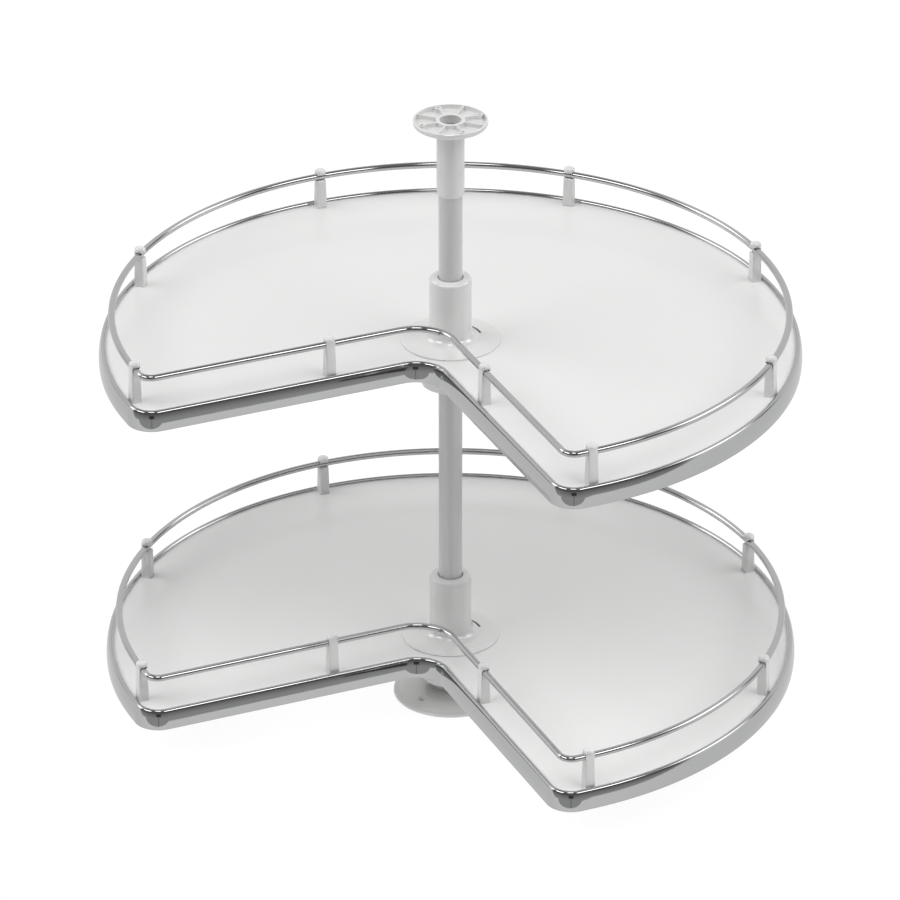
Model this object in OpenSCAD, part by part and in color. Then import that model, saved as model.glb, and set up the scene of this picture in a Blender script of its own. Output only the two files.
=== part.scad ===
// Corner carousel for a kitchen corner cabinet. A pole between a floor flange and a
// telescopic ceiling flange carries two three-quarter shelves, and each shelf turns by
// itself on a ball bearing. Z is up, the origin is on the pole's axis at the floor, and
// the notch of both shelves faces -X and -Y.

/* [Heights] */
// Height from the floor to the top of the ceiling flange
overall_h = 750; // [740:1:900]
// Height of the lower board's top face above the floor
lower_h = 77; // [73:1:110]
// Distance between the top faces of the two boards
shelf_gap = 392; // [300:1:400]

/* [Shelves] */
// Outside radius of a shelf, over its edge band
shelf_r = 410; // [360:1:450]
// Distance from the pole's axis to each straight edge of the notch
notch_off = 46; // [43:1:55]
// Radius of the two outer corners
corner_r = 31; // [24:1:38]
// Radius of the notch's inner corner
notch_r = 32; // [24:1:40]
// Thickness of the board
board_t = 19; // [16:1:22]
// Gap that is left where fixed pieces meet
seat_gap = 0.05; // [0.02:0.01:0.1]

/* [Edge band] */
// Thickness of the band's wall
band_t = 2.4; // [1.8:0.1:3]
// Radius of the band's outward bulge, seen in section
band_bulge_r = 50; // [40:1:80]
// Depth of the bulge's crest below the board's top face
band_bulge_z = 14; // [8:0.5:18]
// Height of the lip that grips the board's underside
band_lip_t = 2.3; // [1.2:0.1:2.7]
// Reach of that lip under the board
band_lip_w = 3; // [2:0.1:4]
// Diameter of the bead along the band's top edge
bead_d = 6.6; // [4:0.1:7.6]
// Height of the bead's centre above the board
bead_rise = 1.2; // [0.8:0.1:2]
// Distance that the bead's outside stands back from the band's face
bead_back = 0.3; // [0:0.1:1]

/* [Rail and posts] */
// Diameter of the gallery rail
rail_d = 8; // [6:0.5:9]
// Distance from the shelf's outside edge in to the rail's centre
rail_inset = 16.2; // [14:0.1:20]
// Height of the rail's centre above the board
rail_h = 40.2; // [30:0.1:60]
// Width of a post at its foot
post_foot_w = 12.8; // [12:0.1:14]
// Width of a post at its top
post_top_w = 10.8; // [10:0.1:12]
// Radius of a post's upright edges
post_edge_r = 1.6; // [0.8:0.1:2]
// Clearance round the rail in a post's clip
clip_gap = 0.15; // [0.1:0.05:0.3]
// Diameter of a post's cap
cap_d = 13.4; // [12:0.1:14]
// Height of the cap above the clip
cap_h = 5.6; // [5:0.1:8]
// Distance along a notch edge from the pole's axis to the post there
arm_post_at = 165; // [130:1:220]

/* [Pole] */
// Outside diameter of the pole
pole_d = 28; // [27:0.5:29]
// Wall of the pole's tube
pole_wall = 1.5; // [1.2:0.1:2]
// Running clearance between the pole and what turns or slides on it
pole_play = 0.05; // [0.02:0.01:0.09]
// Distance from the pole's upper end to the top of the ceiling flange
pole_top_gap = 40; // [38:1:60]

/* [Hub] */
// Diameter of the hub's collar
collar_d = 50; // [48:1:54]
// Height of the collar above the board
collar_h = 81; // [60:1:90]
// Rounding of the collar's top edge
collar_top_r = 4; // [2:0.5:5]
// Fillet between the collar and the flange
collar_fillet = 9; // [6:0.5:10]
// Diameter of the hub's flange
flange_d = 116.6; // [112:0.2:120]
// Thickness of the flange at its edge
flange_edge_t = 1.7; // [1.4:0.1:2.4]
// Thickness of the flange at the foot of the fillet
flange_root_t = 3.2; // [2.8:0.1:4.5]
// Visible gap round the pole in the collar's mouth
mouth_gap = 1.7; // [1:0.1:2.5]
// Depth of the collar's mouth above the top bush
mouth_depth = 3; // [2:0.5:5]
// Length of the top bush
bush_len = 28; // [15:1:35]
// Wall of the hub's collar round the top bush
hub_wall = 4.3; // [3:0.1:4.5]
// Radius at which the slot in the flange lies
slot_at_r = 36.4; // [35:0.1:40]
// Width of that slot
slot_w = 2.8; // [2:0.1:3.5]

/* [Bearing housing] */
// Diameter of the housing below the board
housing_d = 68; // [66:1:74]
// Wall of the housing
housing_wall = 3; // [2.5:0.1:4]
// Diameter of the housing's plate against the board
plate_d = 104; // [100:1:110]
// Thickness of that plate
plate_t = 4; // [3:0.5:5]
// Length of the hub's spigot below the board
spigot_drop = 12; // [10:1:15]
// Thickness of the web that carries the shelf
web_t = 4; // [3:0.5:6]
// Circle on which the housing's screws lie
housing_pcd = 84; // [82:1:88]
// Diameter of the hub's screw bosses
boss_d = 10; // [9:0.5:11]
// Length of the hub's screw bosses below its flange
boss_len = 12; // [10:0.5:14]

/* [Bearing] */
// Diameter of a ball
ball_d = 5; // [4.5:0.1:5.5]
// Circle on which the balls run
ball_pcd = 41; // [40:0.5:42]
// Number of balls in one bearing
ball_count = 12; // [8:1:16]
// Thickness of a race
race_t = 2.2; // [2:0.1:3]
// Depth of the ball groove in a race
groove_depth = 0.6; // [0.4:0.1:0.8]
// Outside diameter of the support collar
stop_d = 48; // [46:1:52]
// Height of the support collar
stop_len = 12; // [10:0.5:14]

/* [Floor flange] */
// Diameter of the floor flange
base_d = 136; // [130:1:150]
// Thickness of its moulded wall
base_wall = 2.6; // [2:0.1:3.5]
// Height of its dome beside the pole's socket
base_dome_h = 9.5; // [8:0.5:12]
// Circle on which its screw holes lie
base_pcd = 96; // [84:1:98]
// Diameter of its screw holes
base_hole_d = 5.2; // [4:0.1:6]
// Angle of the first screw hole from +X
base_hole_a = 21; // [0:1:44]

/* [Ceiling flange] */
// Diameter of the ceiling flange
top_d = 87; // [84:1:96]
// Height of its disc
top_disc_h = 7; // [6:0.5:9]
// Thickness of the disc's floor
top_floor_t = 2.2; // [1.8:0.1:3]
// Circle on which its screw holes lie
top_pcd = 72; // [68:1:74]
// Diameter of its screw holes
top_hole_d = 4.2; // [3:0.1:5]
// Diameter of its central hole
top_bore_d = 25.4; // [22:0.1:25.6]
// Outside diameter of the ring round the central hole
top_ring_d = 34; // [33.5:0.5:38]
// Outside diameter of the sleeve
sleeve_d = 32.5; // [32.4:0.1:36]
// Length of the sleeve below the top face
sleeve_len = 94; // [80:1:120]

/* [Hidden] */
SHELVES = ["lower", "upper"];
POSTS = 9;
RIBS = 8;
SCREWS = 4;

upper_h = lower_h + shelf_gap;
pole_r = pole_d / 2;
run_r = pole_r + pole_play;
back_a = 90;              // bearing of the screws that face the cabinet's back corner

// Shelf outline: the long arc, a short straight at each end of it, two outer corners,
// two straight notch edges and the inner corner
end_run = notch_off - corner_r;
corner_c = shelf_r - corner_r;
inner_c = notch_off + notch_r;
straight = corner_c - inner_c;

// Post places: seven along the arc, one on each straight edge of the notch
arc_step = 45;
rail_path_r = shelf_r - rail_inset;
rail_off = notch_off - rail_inset;
clip_r = rail_d / 2 + clip_gap;
cap_z = rail_h + clip_r;
post_h = cap_z + 0.7;
mouth_tilt = 8;

// Post screws, from below
screw_r = 1.75;
screw_in_post = 14;
screw_head_r = 3.9;
screw_head_t = 2.2;
hole_play = 0.35;
thread_play = 0.02;

// Hub and housing, measured from the board's top face
collar_r = collar_d / 2;
spigot_r = collar_r - 0.2;
hub_in_r = collar_r - hub_wall - 0.2;
mouth_r = pole_r + mouth_gap;
bush_top = collar_h - mouth_depth;
web_top = -board_t - spigot_drop;
web_bot = web_top - web_t;
ball_r = ball_d / 2;
groove_r = ball_r + 0.05;
race_half_gap = groove_r - groove_depth;
ball_z = web_bot - race_t - race_half_gap;
fixed_race_top = ball_z - race_half_gap;
stop_top = fixed_race_top - race_t;
stop_bot = stop_top - stop_len;
housing_bot = stop_bot - 0.6;
housing_in_r = housing_d / 2 - housing_wall;
foot_bush_wall = 2;
housing_screw_r = 1.88;
race_in_r = pole_r + 2.5;
race_out_r = ball_pcd / 2 + 4.5;
grub_r = 3;

// Floor flange
socket_top = lower_h + stop_bot;
socket_floor = 3.5;
socket_z = 6.5;
socket_r = pole_r + 5.5;
base_rim_w = 5.5;
base_rim_t = 3.4;
base_hole_z = 6.5;
foot_screw_r = 4;
plug_r = pole_r - pole_wall - seat_gap;

// Ceiling flange
pole_top = overall_h - pole_top_gap;
sleeve_in_r = pole_r + 0.08;
sleeve_bot = overall_h - sleeve_len;
step_z = overall_h - 10;
lock_z = sleeve_bot + 14;
lock_face = sleeve_d / 2 + 1.8;

// Points of an arc about c, from angle a0 to a1
function arc(c, r, a0, a1, n) = [for (i = [0:n]) let (a = a0 + (a1 - a0) * i / n) c + r * [cos(a), sin(a)]];

// The shelf's outline, drawn in by d from the outside of the band
function outline(d) = concat(
    arc([0, 0], shelf_r - d, -90, 180, 120),
    arc([-corner_c, -end_run], corner_r - d, 180, 270, 12),
    arc([-inner_c, -inner_c], notch_r + d, 90, 0, 12),
    arc([-end_run, -corner_c], corner_r - d, 180, 270, 12)
);

// Carries a flat section round the shelf's outline. The section's x = 0 is the outline,
// its x points outwards and its y points up.
module sweep() {
    rotate([0, 0, -90]) rotate_extrude(angle = 270, $fn = 240) translate([shelf_r, 0]) children();
    for (c = [[-corner_c, -end_run, 0], [-end_run, -corner_c, 0]])
        translate(c) rotate([0, 0, 180]) rotate_extrude(angle = 90, $fn = 96) translate([corner_r, 0]) children();
    translate([-inner_c, -inner_c, 0])
        rotate_extrude(angle = 90, $fn = 96) translate([notch_r, 0]) mirror([1, 0]) children();
    for (run = [[[0, -shelf_r, 0], end_run], [[-inner_c, -notch_off, 0], straight]])
        translate(run[0]) rotate([0, 0, -90]) rotate([90, 0, 0]) linear_extrude(run[1]) children();
    for (run = [[[-shelf_r, -end_run, 0], end_run], [[-notch_off, -corner_c, 0], straight]])
        translate(run[0]) rotate([0, 0, 180]) rotate([90, 0, 0]) linear_extrude(run[1]) children();
}

// Places its children at post i, with +X pointing outwards across the rail
module at_post(i) {
    if (i <= 7) rotate([0, 0, -90 + (i - 1) * arc_step]) translate([rail_path_r, 0, 0]) children();
    else if (i == 8) translate([-arm_post_at, -rail_off, 0]) rotate([0, 0, -90]) children();
    else translate([-rail_off, -arm_post_at, 0]) rotate([0, 0, 180]) children();
}

module at_screws(r, first_a) {
    for (k = [0:SCREWS - 1]) rotate([0, 0, first_a + k * 360 / SCREWS]) translate([r, 0, 0]) children();
}

// A cross recess for a screwdriver, sunk up into a head whose face is at z = 0
module cross_recess(w, depth) {
    for (a = [0, 90]) rotate([0, 0, a]) translate([-w / 2, -0.5, -1]) cube([w, 1, depth + 1]);
}

// ---- one shelf, with z = 0 at the board's top face ----

module board() {
    color("white") difference() {
        translate([0, 0, -board_t]) linear_extrude(board_t) polygon(outline(band_t + seat_gap));
        translate([0, 0, -board_t - 1]) cylinder(h = board_t + 2, r = spigot_r + 0.3, $fn = 96);
        at_screws(housing_pcd / 2, 45) {
            translate([0, 0, -board_t - 1]) cylinder(h = board_t + 2, r = housing_screw_r + 0.7, $fn = 32);
            translate([0, 0, -boss_len - 0.4]) cylinder(h = boss_len + 1, r = boss_d / 2 + 0.3, $fn = 48);
        }
        for (i = [1:POSTS]) at_post(i) {
            translate([0, 0, -board_t - 1]) cylinder(h = board_t + 2, r = screw_r + hole_play, $fn = 32);
            translate([0, 0, -board_t]) cylinder(h = screw_head_t + hole_play,
                r1 = screw_head_r + hole_play, r2 = screw_r + hole_play, $fn = 48);
        }
    }
}

// Section of the edge band: a bulged wall, a bead that laps the board's top face and a lip under it
module band_section() {
    wall_h = board_t + band_lip_t;
    intersection() {
        translate([-band_t, -wall_h]) square([band_t, wall_h + 0.4]);
        translate([-band_bulge_r, -band_bulge_z]) circle(r = band_bulge_r, $fn = 360);
    }
    translate([-band_t - band_lip_w, -wall_h]) square([band_lip_w + 0.5, band_lip_t]);
    difference() {
        translate([-bead_back - bead_d / 2, bead_rise]) circle(d = bead_d, $fn = 48);
        translate([-band_t - bead_d, -bead_d]) square([bead_d, bead_d]);
    }
}

module edge_band() {
    color("silver") sweep() band_section();
}

module rail() {
    color("silver") sweep() translate([-rail_inset, rail_h]) circle(d = rail_d, $fn = 32);
}

module post() {
    color("whitesmoke") difference() {
        union() {
            hull() for (x = [-1, 1], y = [-1, 1], z = [0, 1]) {
                w = (z == 0 ? post_foot_w : post_top_w) / 2 - post_edge_r;
                translate([x * w, y * w, z == 0 ? 0 : post_h - 0.5]) cylinder(h = 0.5, r = post_edge_r, $fn = 16);
            }
            translate([0, 0, cap_z]) rotate_extrude($fn = 48) polygon(concat(
                [[0, 0], [cap_d / 2 - 0.6, 0], [cap_d / 2, 0.6]],
                arc([cap_d / 2 - 3.4, cap_h - 3.4 - 0.5], 3.4, 0, 75, 6), [[0, cap_h]]));
        }
        translate([0, cap_d, rail_h]) rotate([90, 0, 0]) cylinder(h = 2 * cap_d, r = clip_r, $fn = 48);
        translate([0, 0, rail_h]) rotate([0, -mouth_tilt, 0])
            translate([-2 * cap_d, -cap_d, -clip_r]) cube([2 * cap_d, 2 * cap_d, 2 * clip_r]);
        translate([0, 0, -1]) cylinder(h = screw_in_post + 2, r = screw_r + thread_play, $fn = 32);
    }
}

module post_screws() {
    color("lightgray") for (i = [1:POSTS]) at_post(i) translate([0, 0, -board_t]) difference() {
        union() {
            cylinder(h = screw_head_t, r1 = screw_head_r, r2 = screw_r, $fn = 48);
            cylinder(h = board_t + screw_in_post, r = screw_r, $fn = 32);
        }
        cross_recess(4, 1.4);
    }
}

// Flange, collar and spigot in one moulding
module hub() {
    flange_r = flange_d / 2;
    foot_r = collar_r + collar_fillet;
    color("whitesmoke") difference() {
        union() {
            rotate_extrude($fn = 128) polygon(concat(
                [[hub_in_r, web_top], [spigot_r, web_top], [spigot_r, 0], [flange_r, 0]],
                arc([flange_r - 0.8, flange_edge_t - 0.8], 0.8, 0, 85, 4),
                [[foot_r + 2, flange_root_t]],
                arc([foot_r, flange_root_t + collar_fillet], collar_fillet, 270, 180, 10),
                arc([collar_r - collar_top_r, collar_h - collar_top_r], collar_top_r, 0, 90, 8),
                [[mouth_r + 0.6, collar_h], [mouth_r, collar_h - 0.6], [mouth_r, bush_top], [hub_in_r, bush_top]]));
            at_screws(housing_pcd / 2, 45) translate([0, 0, -boss_len])
                cylinder(h = boss_len + 1, r = boss_d / 2, $fn = 48);
        }
        at_screws(housing_pcd / 2, 45) translate([0, 0, -boss_len - 1])
            cylinder(h = boss_len, r = housing_screw_r + thread_play, $fn = 32);
        rotate([0, 0, -5]) rotate_extrude(angle = 28, $fn = 96)
            translate([slot_at_r - slot_w / 2, 1.2]) square([slot_w, 6]);
    }
}

module top_bush() {
    color("gainsboro") translate([0, 0, bush_top - bush_len]) difference() {
        cylinder(h = bush_len, r = hub_in_r - seat_gap, $fn = 96);
        translate([0, 0, -1]) cylinder(h = bush_len + 2, r = run_r, $fn = 96);
    }
}

module foot_bush() {
    color("gainsboro") difference() {
        union() {
            translate([0, 0, web_bot]) cylinder(h = web_t, r = run_r + foot_bush_wall, $fn = 96);
            translate([0, 0, web_top]) cylinder(h = 2, r = hub_in_r - 0.7, $fn = 96);
        }
        translate([0, 0, web_bot - 1]) cylinder(h = web_t + 4, r = run_r, $fn = 96);
    }
}

module bearing_housing() {
    barrel_r = housing_d / 2;
    ring_in = spigot_r + 0.1;
    bush_hole_r = run_r + foot_bush_wall + seat_gap;
    color("whitesmoke") difference() {
        rotate_extrude($fn = 128) polygon(concat(
            [[plate_d / 2, -board_t - plate_t + 1], [plate_d / 2, -board_t], [housing_in_r, -board_t],
             [housing_in_r, web_top], [ring_in + 3, web_top], [ring_in + 3, web_top + 3], [ring_in, web_top + 3],
             [ring_in, web_top], [bush_hole_r, web_top], [bush_hole_r, web_bot], [housing_in_r, web_bot],
             [housing_in_r, housing_bot]],
            arc([barrel_r - 1.2, housing_bot + 1.2], 1.2, 270, 360, 4),
            arc([barrel_r + 2.5, -board_t - plate_t - 2.5], 2.5, 180, 90, 5),
            [[plate_d / 2 - 1, -board_t - plate_t]]));
        at_screws(housing_pcd / 2, 45) translate([0, 0, -board_t - plate_t - 1])
            cylinder(h = plate_t + 2, r = housing_screw_r + 0.5, $fn = 32);
        translate([0, 0, (stop_top + stop_bot) / 2]) rotate([0, 0, back_a]) rotate([0, 90, 0])
            cylinder(h = housing_d, r = grub_r + 1.2, $fn = 48);
    }
}

module housing_screws() {
    head_t = 2.6;
    color("lightgray") at_screws(housing_pcd / 2, 45) translate([0, 0, -board_t - plate_t - head_t]) difference() {
        union() {
            cylinder(h = head_t, r1 = 3.4, r2 = 4.2, $fn = 48);
            cylinder(h = head_t + plate_t + board_t - 4, r = housing_screw_r, $fn = 32);
        }
        cross_recess(4.4, 1.5);
    }
}

// A flat ring whose ball groove is cut by the balls' own torus
module race(z0) {
    color("lightsteelblue") difference() {
        translate([0, 0, z0]) cylinder(h = race_t, r = race_out_r, $fn = 96);
        translate([0, 0, z0 - 1]) cylinder(h = race_t + 2, r = race_in_r, $fn = 96);
        translate([0, 0, ball_z]) rotate_extrude($fn = 96) translate([ball_pcd / 2, 0]) circle(r = groove_r, $fn = 48);
    }
}

module turning_race() { race(web_bot - race_t); }

module fixed_race() { race(stop_top); }

module balls() {
    color("silver") for (k = [0:ball_count - 1]) rotate([0, 0, k * 360 / ball_count])
        translate([ball_pcd / 2, 0, ball_z]) sphere(r = ball_r, $fn = 32);
}

module ball_cage() {
    color("tan") translate([0, 0, ball_z - 0.9]) difference() {
        cylinder(h = 1.8, r = ball_pcd / 2 + 3, $fn = 96);
        translate([0, 0, -1]) cylinder(h = 4, r = ball_pcd / 2 - 3, $fn = 96);
        for (k = [0:ball_count - 1]) rotate([0, 0, k * 360 / ball_count])
            translate([ball_pcd / 2, 0, -1]) cylinder(h = 4, r = ball_r + 0.12, $fn = 32);
    }
}

module support_collar() {
    color("lightgray") difference() {
        rotate_extrude($fn = 96) polygon([[run_r, stop_bot], [stop_d / 2 - 1, stop_bot], [stop_d / 2, stop_bot + 1],
            [stop_d / 2, stop_top - 1], [stop_d / 2 - 1, stop_top], [run_r, stop_top]]);
        translate([0, 0, (stop_top + stop_bot) / 2]) rotate([0, 0, back_a]) rotate([0, 90, 0])
            cylinder(h = stop_d, r = grub_r + thread_play, $fn = 48);
    }
}

module grub_screw() {
    color("dimgray") translate([0, 0, (stop_top + stop_bot) / 2]) rotate([0, 0, back_a]) rotate([0, 90, 0])
        translate([0, 0, run_r + 0.1]) difference() {
            cylinder(h = stop_d / 2 - run_r - 0.6, r = grub_r, $fn = 48);
            translate([0, 0, stop_d / 2 - run_r - 3.6]) cylinder(h = 4, r = 1.6, $fn = 6);
        }
}

// ---- pole and flanges, with z = 0 at the floor ----

// Height of the floor flange's upper surface at radius r
function dome_z(r) = let (r0 = base_d / 2 - base_rim_w - 1.5, t = (r0 - r) / (r0 - socket_r - 3))
    base_rim_t + 0.8 + (base_dome_h - base_rim_t - 0.8) * sin(90 * min(max(t, 0), 1));

module floor_flange() {
    base_r = base_d / 2;
    r_out = base_r - base_rim_w - 1.5;
    r_in = socket_r + 3;
    steps = 10;
    dome = [for (i = [0:steps]) let (r = r_out + (r_in - r_out) * i / steps) [r, dome_z(r)]];
    under = [for (i = [steps:-1:0]) [dome[i][0], dome[i][1] - base_wall]];
    color("gainsboro") difference() {
        union() {
            rotate_extrude($fn = 128) polygon(concat(
                [[base_r - 4, 0], [base_r, 0]],
                arc([base_r - 1.2, base_rim_t - 1.2], 1.2, 0, 90, 4),
                [[base_r - base_rim_w, base_rim_t]],
                dome,
                arc([socket_r + 2, dome_z(r_in) + 2], 2, 270, 180, 5),
                arc([socket_r - 1.5, socket_top - 1.5], 1.5, 0, 90, 4),
                [[pole_r + 0.02, socket_top], [pole_r + 0.02, socket_z], [foot_screw_r + 0.3, socket_z],
                 [foot_screw_r + 0.3, socket_floor], [9, socket_floor], [9, 0], [socket_r, 0],
                 [socket_r, dome_z(r_in) - base_wall]],
                under,
                [[base_r - 4, base_rim_t + 0.8 - base_wall]]));
            intersection() {
                for (k = [0:RIBS - 1]) rotate([0, 0, base_hole_a + 22.5 + k * 360 / RIBS])
                    translate([socket_r - 1, -1.2, 0]) cube([base_r - socket_r - 2, 2.4, base_dome_h]);
                rotate_extrude($fn = 128) polygon(concat([[socket_r - 1, 0], [base_r - 3, 0]],
                    [[base_r - 3, base_rim_t - 1]], [for (p = dome) [p[0], p[1] - base_wall / 2]],
                    [[socket_r - 1, base_dome_h - base_wall / 2]]));
            }
            at_screws(base_pcd / 2, base_hole_a) cylinder(h = dome_z(base_pcd / 2) - 0.5, r = base_hole_d / 2 + 3.4,
                $fn = 48);
        }
        at_screws(base_pcd / 2, base_hole_a) {
            translate([0, 0, -1]) cylinder(h = base_dome_h + 4, r = base_hole_d / 2, $fn = 48);
            translate([0, 0, dome_z(base_pcd / 2) - 2.6])
                cylinder(h = 4, r1 = base_hole_d / 2, r2 = base_hole_d / 2 + 4, $fn = 48);
        }
    }
}

module pole() {
    color("lightgray") translate([0, 0, socket_z]) difference() {
        cylinder(h = pole_top - socket_z, r = pole_r, $fn = 128);
        translate([0, 0, -1]) cylinder(h = pole_top, r = pole_r - pole_wall, $fn = 128);
    }
}

module foot_plug() {
    plug_len = 24;
    color("gray") translate([0, 0, socket_z]) difference() {
        cylinder(h = plug_len, r = plug_r, $fn = 96);
        translate([0, 0, -1]) cylinder(h = plug_len + 2, r = foot_screw_r + thread_play, $fn = 48);
    }
}

module foot_screw() {
    head_z = 0.8;
    color("lightgray") {
        translate([0, 0, head_z]) cylinder(h = socket_floor - head_z, r = 7.4, $fn = 6);
        translate([0, 0, head_z]) cylinder(h = 24, r = foot_screw_r, $fn = 48);
    }
}

module pole_end_plug() {
    color("gray") {
        translate([0, 0, pole_top - 12]) cylinder(h = 12, r = plug_r, $fn = 96);
        translate([0, 0, pole_top]) cylinder(h = 2, r1 = pole_r - 0.1, r2 = pole_r - 0.8, $fn = 96);
    }
}

// Ribbed disc with four screw bosses, and the sleeve that telescopes over the pole
module ceiling_flange() {
    top_r = top_d / 2;
    disc_z = overall_h - top_disc_h;
    floor_z = disc_z + top_floor_t;
    sleeve_r = sleeve_d / 2;
    bore_r = top_bore_d / 2;
    ring_r = top_ring_d / 2;
    rim_w = 2.2;
    color("whitesmoke") difference() {
        union() {
            rotate_extrude($fn = 128) polygon(concat(
                [[sleeve_in_r, sleeve_bot], [sleeve_r - 1.2, sleeve_bot], [sleeve_r, sleeve_bot + 2]],
                arc([sleeve_r + 3, disc_z - 3], 3, 180, 90, 5),
                arc([top_r - 4, disc_z + 4], 4, 270, 360, 6),
                [[top_r, overall_h - 0.4], [top_r - 0.4, overall_h], [top_r - rim_w, overall_h],
                 [top_r - rim_w - 0.3, floor_z], [ring_r, floor_z], [ring_r, overall_h], [bore_r, overall_h],
                 [bore_r, step_z], [sleeve_in_r, step_z]]));
            for (k = [0:RIBS - 1]) rotate([0, 0, k * 360 / RIBS])
                translate([ring_r - 1, -0.9, floor_z - 0.5]) cube([top_r - rim_w - ring_r + 2, 1.8, overall_h - floor_z + 0.5]);
            at_screws(top_pcd / 2, 0) translate([0, 0, floor_z - 0.5])
                cylinder(h = overall_h - floor_z + 0.5, r = top_hole_d / 2 + 2, $fn = 48);
            translate([0, 0, lock_z]) rotate([0, 0, back_a]) rotate([0, 90, 0])
                translate([0, 0, pole_r + 1]) cylinder(h = lock_face - pole_r - 1, r = 5.5, $fn = 48);
        }
        at_screws(top_pcd / 2, 0) translate([0, 0, disc_z - 1])
            cylinder(h = top_disc_h + 2, r = top_hole_d / 2, $fn = 48);
        translate([0, 0, lock_z]) rotate([0, 0, back_a]) rotate([0, 90, 0])
            cylinder(h = sleeve_d, r = 2 + thread_play, $fn = 32);
        translate([0, 0, lock_z - 8]) cylinder(h = 16, r = sleeve_in_r, $fn = 128);
    }
}

module sleeve_lock_screw() {
    tip = pole_r + 0.15;
    color("lightgray") translate([0, 0, lock_z]) rotate([0, 0, back_a]) rotate([0, 90, 0]) difference() {
        union() {
            translate([0, 0, tip]) cylinder(h = lock_face - tip + 1, r = 2, $fn = 32);
            translate([0, 0, lock_face]) cylinder(h = 2.4, r1 = 4.2, r2 = 3.6, $fn = 48);
        }
        translate([0, 0, lock_face + 2.4]) mirror([0, 0, 1]) cross_recess(4.2, 1.4);
    }
}

floor_flange();
pole();
foot_plug();
foot_screw();
pole_end_plug();
ceiling_flange();
sleeve_lock_screw();
for (s = SHELVES) translate([0, 0, s == "lower" ? lower_h : upper_h]) {
    board();
    edge_band();
    rail();
    hub();
    top_bush();
    foot_bush();
    bearing_housing();
    housing_screws();
    post_screws();
    turning_race();
    fixed_race();
    balls();
    ball_cage();
    support_collar();
    grub_screw();
    for (i = [1:POSTS]) at_post(i) post();
}
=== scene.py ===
"""Looks of the corner carousel: chrome edge bands and gallery rails, moulded posts, hubs and
flanges, faced boards, and the studio that they stand in. Sizes are in millimetres while a shape
is worked out, and become metres when it is made a mesh."""

import math

import bpy
import numpy as np
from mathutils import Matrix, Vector


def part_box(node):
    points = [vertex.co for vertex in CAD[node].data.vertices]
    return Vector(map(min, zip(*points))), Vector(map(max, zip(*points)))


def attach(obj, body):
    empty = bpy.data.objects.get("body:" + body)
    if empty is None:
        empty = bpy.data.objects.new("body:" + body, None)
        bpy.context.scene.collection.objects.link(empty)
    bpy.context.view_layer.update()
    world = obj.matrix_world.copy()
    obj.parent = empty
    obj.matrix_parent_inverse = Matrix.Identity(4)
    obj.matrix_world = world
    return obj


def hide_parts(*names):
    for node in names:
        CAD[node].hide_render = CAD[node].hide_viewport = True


bl_info = {
    "name": "Corner Carousel Looks",
    "version": (1, 0, 0),
    "blender": (4, 5, 0),
    "location": "View3D > Sidebar > Carousel",
    "description": "Dresses the packed corner carousel with detailed pieces and procedural finishes",
    "category": "Object",
}

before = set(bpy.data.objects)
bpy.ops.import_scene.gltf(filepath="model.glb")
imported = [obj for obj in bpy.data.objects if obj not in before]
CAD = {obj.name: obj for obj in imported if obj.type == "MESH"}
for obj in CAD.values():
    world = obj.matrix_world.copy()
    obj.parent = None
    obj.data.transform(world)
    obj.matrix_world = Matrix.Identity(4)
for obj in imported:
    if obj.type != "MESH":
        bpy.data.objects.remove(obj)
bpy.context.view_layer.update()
SHELVES = ("lower", "upper")
BODY = {"lower": "lower_shelf", "upper": "upper_shelf"}
CLIP_GAP = 0.15  # between the rail and the slot of a post, in millimetres


def top_of(node):
    """Height of a CAD node's highest point, in millimetres."""
    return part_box(node)[1].z * 1000


def span_of(node):
    """Half the width of a CAD node along X, in millimetres."""
    low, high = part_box(node)
    return (high.x - low.x) * 500


# ---------------------------------------------------------------- sizes and colours


def length(name, text, default):
    """A length in metres, given here in millimetres."""
    return bpy.props.FloatProperty(
        name=name, description=text, default=default / 1000, min=0.0, unit="LENGTH", precision=5
    )


def angle(name, text, default):
    """An angle in radians, given here in degrees."""
    return bpy.props.FloatProperty(
        name=name, description=text, default=math.radians(default), unit="ROTATION"
    )


def tone(name, text, default):
    """A linear colour."""
    return bpy.props.FloatVectorProperty(
        name=name, description=text, default=default, size=3, min=0.0, max=1.0, subtype="COLOR"
    )


def amount(name, text, default, top=1.0):
    """A plain factor."""
    return bpy.props.FloatProperty(
        name=name, description=text, default=default, min=0.0, max=top, subtype="FACTOR"
    )


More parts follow.
